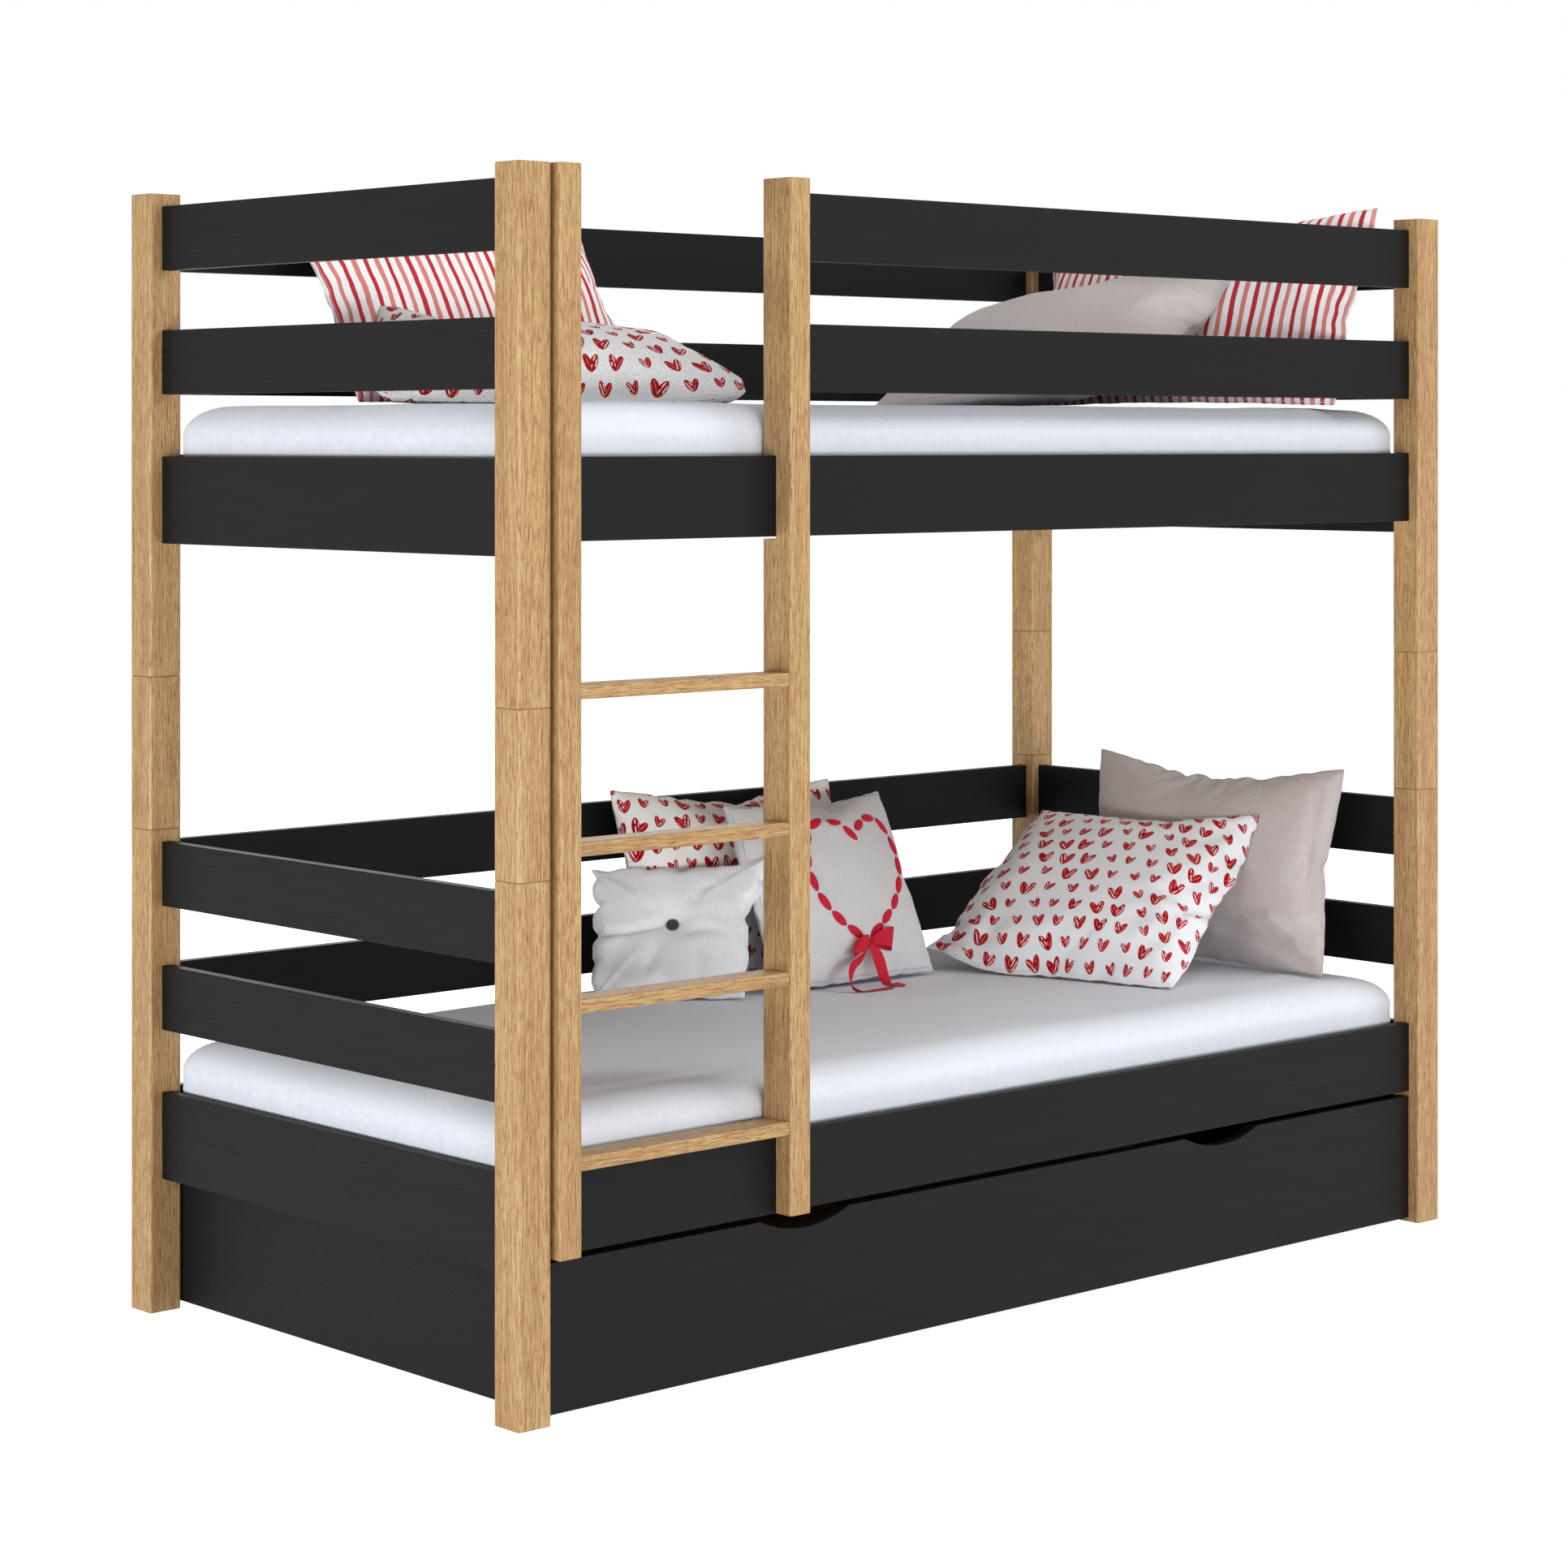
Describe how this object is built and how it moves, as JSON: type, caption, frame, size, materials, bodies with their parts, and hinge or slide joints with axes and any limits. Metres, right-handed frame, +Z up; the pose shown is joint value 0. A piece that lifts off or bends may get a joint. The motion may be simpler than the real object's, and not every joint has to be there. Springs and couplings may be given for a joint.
{
  "type": "bunk bed",
  "caption": "Wooden bunk bed with stacked post frames, painted guard boards, a front ladder at one end, dressed mattresses with pillows, and a long rolling drawer with finger grips underneath.",
  "frame": {"origin": "on the floor, under the middle of the bed's bounding box", "axes": "+X along the bed, away from the ladder end; +Y from the open front, where the ladder stands, to the back; +Z up"},
  "size_m": [2.104, 1.0256, 1.8267],
  "materials": {
    "oak": "clear matt lacquer, open vertical grain",
    "black_paint": "matt black paint with the grain faintly showing",
    "pine": "raw, planed",
    "sheet": "smooth white cotton",
    "striped_cotton": "white cotton with hand-drawn red stripes",
    "hearts_cotton": "white cotton with small red hearts",
    "grey_linen": "warm grey linen, visible weave",
    "pale_linen": "light grey linen, visible weave",
    "pale_cotton": "soft pale grey cotton",
    "ribbon": "red satin ribbon",
    "button": "dark grey, matt",
    "castor_rubber": "dark grey, soft tread"
  },
  "bodies": {
    "root": {"lower_post_front_left": "oak", "lower_post_front_right": "oak", "lower_post_back_left": "oak", "lower_post_back_right": "oak", "spacer_front_left": "oak", "spacer_front_right": "oak", "spacer_back_left": "oak", "spacer_back_right": "oak", "upper_post_front_left": "oak", "upper_post_front_right": "oak", "upper_post_back_left": "oak", "upper_post_back_right": "oak", "lower_left_guard_top": "black_paint", "lower_left_guard_low": "black_paint", "lower_left_base": "black_paint", "lower_right_guard_top": "black_paint", "lower_right_guard_low": "black_paint", "lower_right_base": "black_paint", "lower_back_guard_top": "black_paint", "lower_back_guard_low": "black_paint", "lower_back_base": "black_paint", "lower_front_base": "black_paint", "upper_left_guard_top": "black_paint", "upper_left_guard_low": "black_paint", "upper_left_base": "black_paint", "upper_right_guard_top": "black_paint", "upper_right_guard_low": "black_paint", "upper_right_base": "black_paint", "upper_back_guard_top": "black_paint", "upper_back_guard_low": "black_paint", "upper_back_base": "black_paint", "upper_front_base": "black_paint", "upper_front_guard_top": "black_paint", "upper_front_guard_low": "black_paint", "lower_slatted_base": "pine", "upper_slatted_base": "pine", "ladder_stile_left": "oak", "ladder_stile_right": "oak", "rung_1": "oak", "rung_2": "oak", "rung_3": "oak", "rung_4": "oak", "lower_mattress": "sheet", "upper_mattress": "sheet", "pillow_stripes_upper_right": "striped_cotton", "pillow_grey_upper_right": "grey_linen", "pillow_stripes_upper_left": "striped_cotton", "pillow_hearts_upper_left": "hearts_cotton", "pillow_hearts_lower_left": "hearts_cotton", "cushion_ribbon_heart": "pale_linen", "cushion_button": "pale_cotton", "pillow_grey_lower_right": "grey_linen", "pillow_hearts_lower_right": "hearts_cotton"},
    "drawer": {"drawer_front": "black_paint", "drawer_carcass": "black_paint", "drawer_bottom": "pine"},
    "wheel_front_left": {"castor_wheel_front_left": "castor_rubber"},
    "wheel_front_right": {"castor_wheel_front_right": "castor_rubber"},
    "wheel_back_left": {"castor_wheel_back_left": "castor_rubber"},
    "wheel_back_right": {"castor_wheel_back_right": "castor_rubber"}
  },
  "joints": [
    {"name": "drawer_slide", "type": "slide", "parent": "root", "child": "drawer", "axis": [0, -1, 0], "range_m": [0, 0.8]},
    {"name": "wheel_front_left_turn", "type": "hinge", "parent": "drawer", "child": "wheel_front_left", "pos_m": [-0.881, -0.34895, 0.0228], "axis": [1, 0, 0], "continuous": true},
    {"name": "wheel_front_right_turn", "type": "hinge", "parent": "drawer", "child": "wheel_front_right", "pos_m": [0.881, -0.34895, 0.0228], "axis": [1, 0, 0], "continuous": true},
    {"name": "wheel_back_left_turn", "type": "hinge", "parent": "drawer", "child": "wheel_back_left", "pos_m": [-0.881, 0.36075, 0.0228], "axis": [1, 0, 0], "continuous": true},
    {"name": "wheel_back_right_turn", "type": "hinge", "parent": "drawer", "child": "wheel_back_right", "pos_m": [0.881, 0.36075, 0.0228], "axis": [1, 0, 0], "continuous": true}
  ],
  "couplings": [
    {"joint": "wheel_front_left_turn", "follows": "drawer_slide", "rad_per_m": 44.444},
    {"joint": "wheel_front_right_turn", "follows": "drawer_slide", "rad_per_m": 44.444},
    {"joint": "wheel_back_left_turn", "follows": "drawer_slide", "rad_per_m": 44.444},
    {"joint": "wheel_back_right_turn", "follows": "drawer_slide", "rad_per_m": 44.444}
  ]
}
